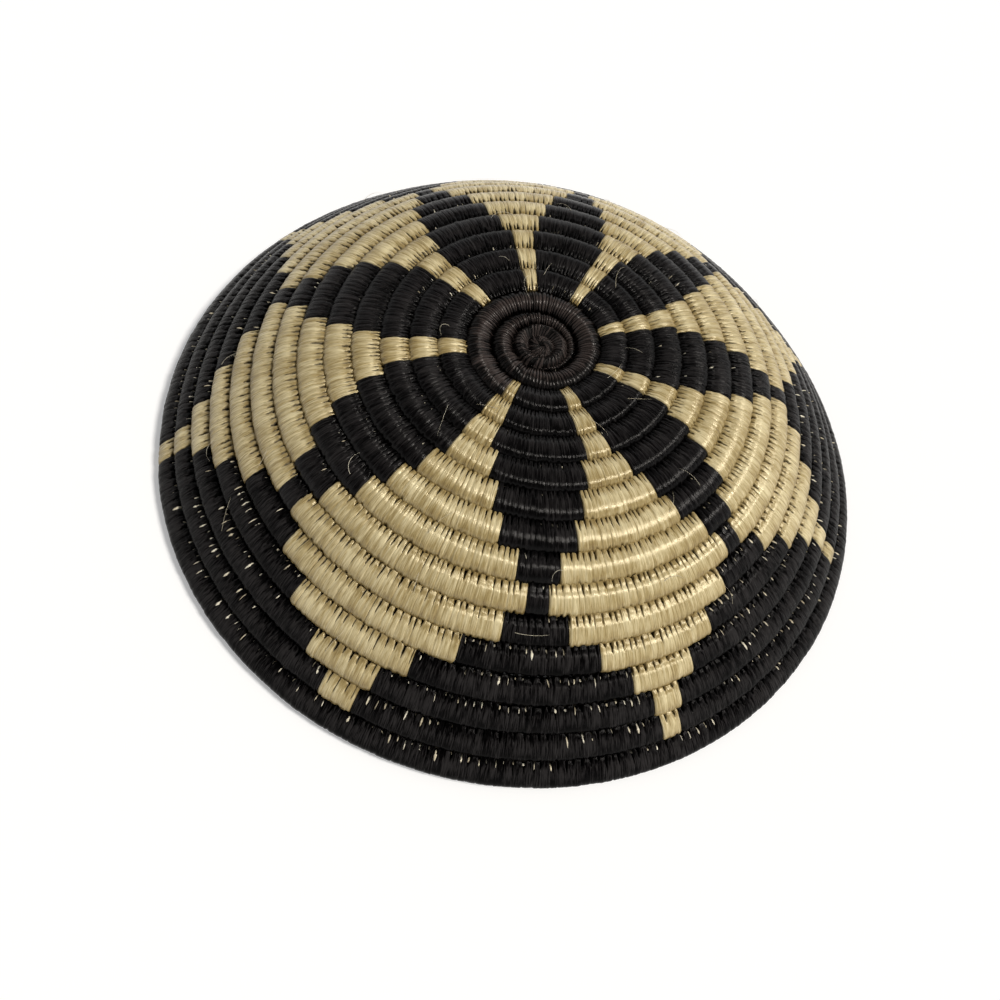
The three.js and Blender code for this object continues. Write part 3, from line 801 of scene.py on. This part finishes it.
def add_camera():
    base = Vector((0, 0, -FOOT_HEIGHT * MM))
    back = Vector((0, -math.cos(ELEVATION), math.sin(ELEVATION)))
    right = Vector((1, 0, 0))
    up = back.cross(right)
    turn = Matrix(((math.cos(ROLL), -math.sin(ROLL), 0), (math.sin(ROLL), math.cos(ROLL), 0), (0, 0, 1)))
    focal = LENS / SENSOR * FRAME_PIXELS
    aside, below = [(pixel - FRAME_PIXELS / 2) / focal for pixel in BASE_PIXEL]
    aim = Vector((aside, -below, -1))
    swing = Vector((0, 0, -1)).rotation_difference(aim).to_matrix()
    to_camera = swing @ turn @ Matrix((right, up, back))
    data = bpy.data.cameras.new("camera")
    data.lens, data.sensor_width = LENS, SENSOR
    data.clip_start, data.clip_end = CLIP_METRES
    camera = bpy.data.objects.new("camera", data)
    bpy.context.scene.collection.objects.link(camera)
    camera.matrix_world = Matrix.Translation(base + back * DISTANCE * MM) @ to_camera.transposed().to_4x4()
    bpy.context.scene.camera = camera


def add_floor():
    """A sheet of white paper. It looks white to the camera and in gloss, and keeps the basket's shadow."""
    size = FLOOR_METRES
    mesh = bpy.data.meshes.new("floor")
    corners = [(-size, -size, 0), (size, -size, 0), (size, size, 0), (-size, size, 0)]
    mesh.from_pydata(corners, [], [(0, 1, 2, 3)])
    paper = bpy.data.materials.new("floor_paper")
    n = Nodes(paper)
    seen = n.seen(n.add("ShaderNodeLightPath"))
    diffuse = n.add("ShaderNodeBsdfDiffuse", {"Color": (FLOOR_WHITE, FLOOR_WHITE, FLOOR_WHITE, 1)})
    glow = n.add("ShaderNodeEmission", {"Color": (1, 1, 1, 1), "Strength": FLOOR_GLOW})
    share = n.math("MULTIPLY", seen, GLOW_SHARE)
    mix = n.add("ShaderNodeMixShader", {"Fac": share, 1: diffuse.outputs[0], 2: glow.outputs[0]})
    n.add("ShaderNodeOutputMaterial", {"Surface": mix.outputs[0]})
    mesh.materials.append(paper)
    floor = bpy.data.objects.new("floor", mesh)
    bpy.context.scene.collection.objects.link(floor)


def add_world():
    """An even, weak light. The camera sees plain white; gloss sees white walls under a darker ceiling."""
    world = bpy.data.worlds.new("studio")
    bpy.context.scene.world = world
    n = Nodes(world)
    path = n.add("ShaderNodeLightPath")
    direction = n.add("ShaderNodeTexCoord").outputs["Generated"]
    height = n.add("ShaderNodeSeparateXYZ", {0: direction}).outputs["Z"]
    walls = n.add("ShaderNodeMapRange", {
        "Value": height, "From Min": CEILING_STARTS, "From Max": CEILING_FULL,
        "To Min": 1.0, "To Max": CEILING_WHITE,
    }).outputs[0]
    strength = n.math("MAXIMUM", walls, path.outputs["Is Camera Ray"])
    ambient = n.add("ShaderNodeBackground", {"Color": (1, 1, 1, 1), "Strength": AMBIENT})
    white = n.add("ShaderNodeBackground", {"Color": (1, 1, 1, 1), "Strength": strength})
    mix = n.add("ShaderNodeMixShader", {"Fac": n.seen(path), 1: ambient.outputs[0], 2: white.outputs[0]})
    n.add("ShaderNodeOutputWorld", {"Surface": mix.outputs[0]})


def add_key():
    """The one lamp, a soft light that is as strong everywhere."""
    light = bpy.data.lights.new("key", "SUN")
    light.angle = math.radians(KEY_DEGREES)
    light.energy = KEY_STRENGTH
    light.color = KEY_COLOUR
    lamp = bpy.data.objects.new("key", light)
    bpy.context.scene.collection.objects.link(lamp)
    lamp.location = KEY_FROM
    lamp.rotation_euler = Vector(KEY_FROM).to_track_quat("Z", "Y").to_euler()


add_basket()
add_camera()
add_floor()
add_world()
add_key()
bpy.context.scene.view_settings.view_transform = "Standard"
